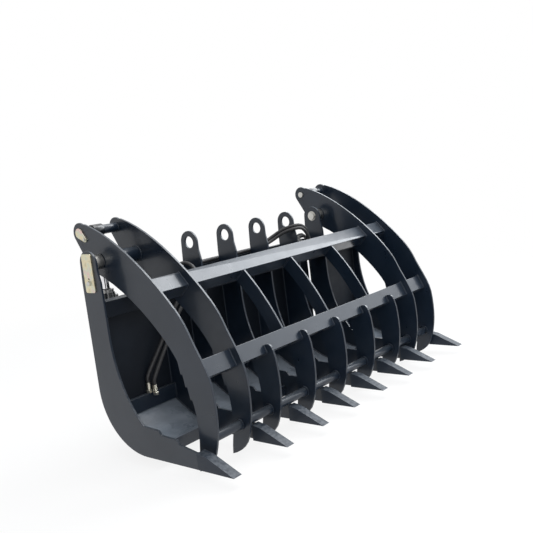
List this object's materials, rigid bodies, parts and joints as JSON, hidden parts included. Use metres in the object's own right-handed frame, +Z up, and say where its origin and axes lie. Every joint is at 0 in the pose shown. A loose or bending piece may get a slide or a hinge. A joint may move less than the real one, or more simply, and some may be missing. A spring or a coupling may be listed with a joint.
{
  "type": "root rake grapple",
  "caption": "Root rake grapple for a skid steer loader, with J shaped rake tines, a hinged clamp lid and two hydraulic cylinders.",
  "frame": {"origin": "middle of the overall width and depth, at the height of the lowest point, the claw tips of the closed lid", "axes": "X across the rake, +Y from the tine tips to the loader, +Z up"},
  "size_m": [1.855, 0.8179, 0.9808],
  "materials": {
    "frame_paint": "gloss",
    "lid_paint": "gloss",
    "pin_steel": "satin",
    "zinc_plate": "satin",
    "cylinder_paint": "gloss",
    "rod_chrome": "polished",
    "gland_steel": "satin",
    "hose_rubber": "matt"
  },
  "bodies": {
    "frame": {"side_plate_left": "frame_paint", "side_plate_right": "frame_paint", "rake_tine_1": "frame_paint", "rake_tine_2": "frame_paint", "rake_tine_3": "frame_paint", "rake_tine_4": "frame_paint", "rake_tine_5": "frame_paint", "rake_tine_6": "frame_paint", "tine_tips": "frame_paint", "rear_beam": "frame_paint", "heel_beam": "frame_paint", "heel_pans": "frame_paint", "end_panels": "frame_paint", "attach_plate": "frame_paint", "cylinder_lugs": "frame_paint", "pivot_pins": "pin_steel", "pivot_bushes": "pin_steel", "pivot_flags": "zinc_plate", "flag_bolts": "pin_steel", "base_pins": "pin_steel", "base_washers": "pin_steel", "hose_cross_upper": "hose_rubber", "hose_cross_lower": "hose_rubber", "hose_tail_1": "hose_rubber", "hose_tail_2": "hose_rubber", "hose_tees": "pin_steel", "hose_ends": "zinc_plate"},
    "lid": {"lid_plate_outer_left": "lid_paint", "lid_plate_inner_left": "lid_paint", "lid_plate_inner_right": "lid_paint", "lid_plate_outer_right": "lid_paint", "lid_claw_1": "lid_paint", "lid_claw_2": "lid_paint", "lid_claw_3": "lid_paint", "lid_claw_4": "lid_paint", "lid_claw_5": "lid_paint", "lid_rib_1": "lid_paint", "lid_rib_2": "lid_paint", "lid_rib_3": "lid_paint", "top_bar": "lid_paint", "mid_bar": "lid_paint", "lower_rod": "lid_paint", "rod_collars": "lid_paint", "pivot_tubes": "lid_paint", "pin_bosses": "lid_paint", "rod_pins": "pin_steel", "rod_flags": "zinc_plate", "rod_flag_bolts": "pin_steel"},
    "rod_body_left": {"rod_left": "rod_chrome", "rod_eye_left": "cylinder_paint", "piston_left": "gland_steel"},
    "barrel_body_left": {"barrel_left": "cylinder_paint", "gland_left": "gland_steel", "ports_left": "gland_steel"},
    "rod_body_right": {"rod_right": "rod_chrome", "rod_eye_right": "cylinder_paint", "piston_right": "gland_steel"},
    "barrel_body_right": {"barrel_right": "cylinder_paint", "gland_right": "gland_steel", "ports_right": "gland_steel"}
  },
  "joints": [
    {"name": "lid_hinge", "type": "hinge", "parent": "frame", "child": "lid", "pos_m": [0, 0.254, 0.82], "axis": [1, 0, 0], "range_deg": [-60, 0]},
    {"name": "rod_left_swing", "type": "hinge", "parent": "lid", "child": "rod_body_left", "pos_m": [-0.768, 0.366, 0.938], "axis": [1, 0, 0], "range_deg": [0, 53]},
    {"name": "barrel_left_slide", "type": "slide", "parent": "rod_body_left", "child": "barrel_body_left", "axis": [0, 0.0379, 0.9993], "range_m": [0, 0.147]},
    {"name": "rod_right_swing", "type": "hinge", "parent": "lid", "child": "rod_body_right", "pos_m": [0.768, 0.366, 0.938], "axis": [1, 0, 0], "range_deg": [0, 53]},
    {"name": "barrel_right_slide", "type": "slide", "parent": "rod_body_right", "child": "barrel_body_right", "axis": [0, 0.0379, 0.9993], "range_m": [0, 0.147]}
  ],
  "couplings": [
    {"joint": "rod_left_swing", "follows": "lid_hinge", "ratio": -0.88198},
    {"joint": "barrel_left_slide", "follows": "lid_hinge", "m_per_rad": -0.14003},
    {"joint": "rod_right_swing", "follows": "lid_hinge", "ratio": -0.88198},
    {"joint": "barrel_right_slide", "follows": "lid_hinge", "m_per_rad": -0.14003}
  ]
}
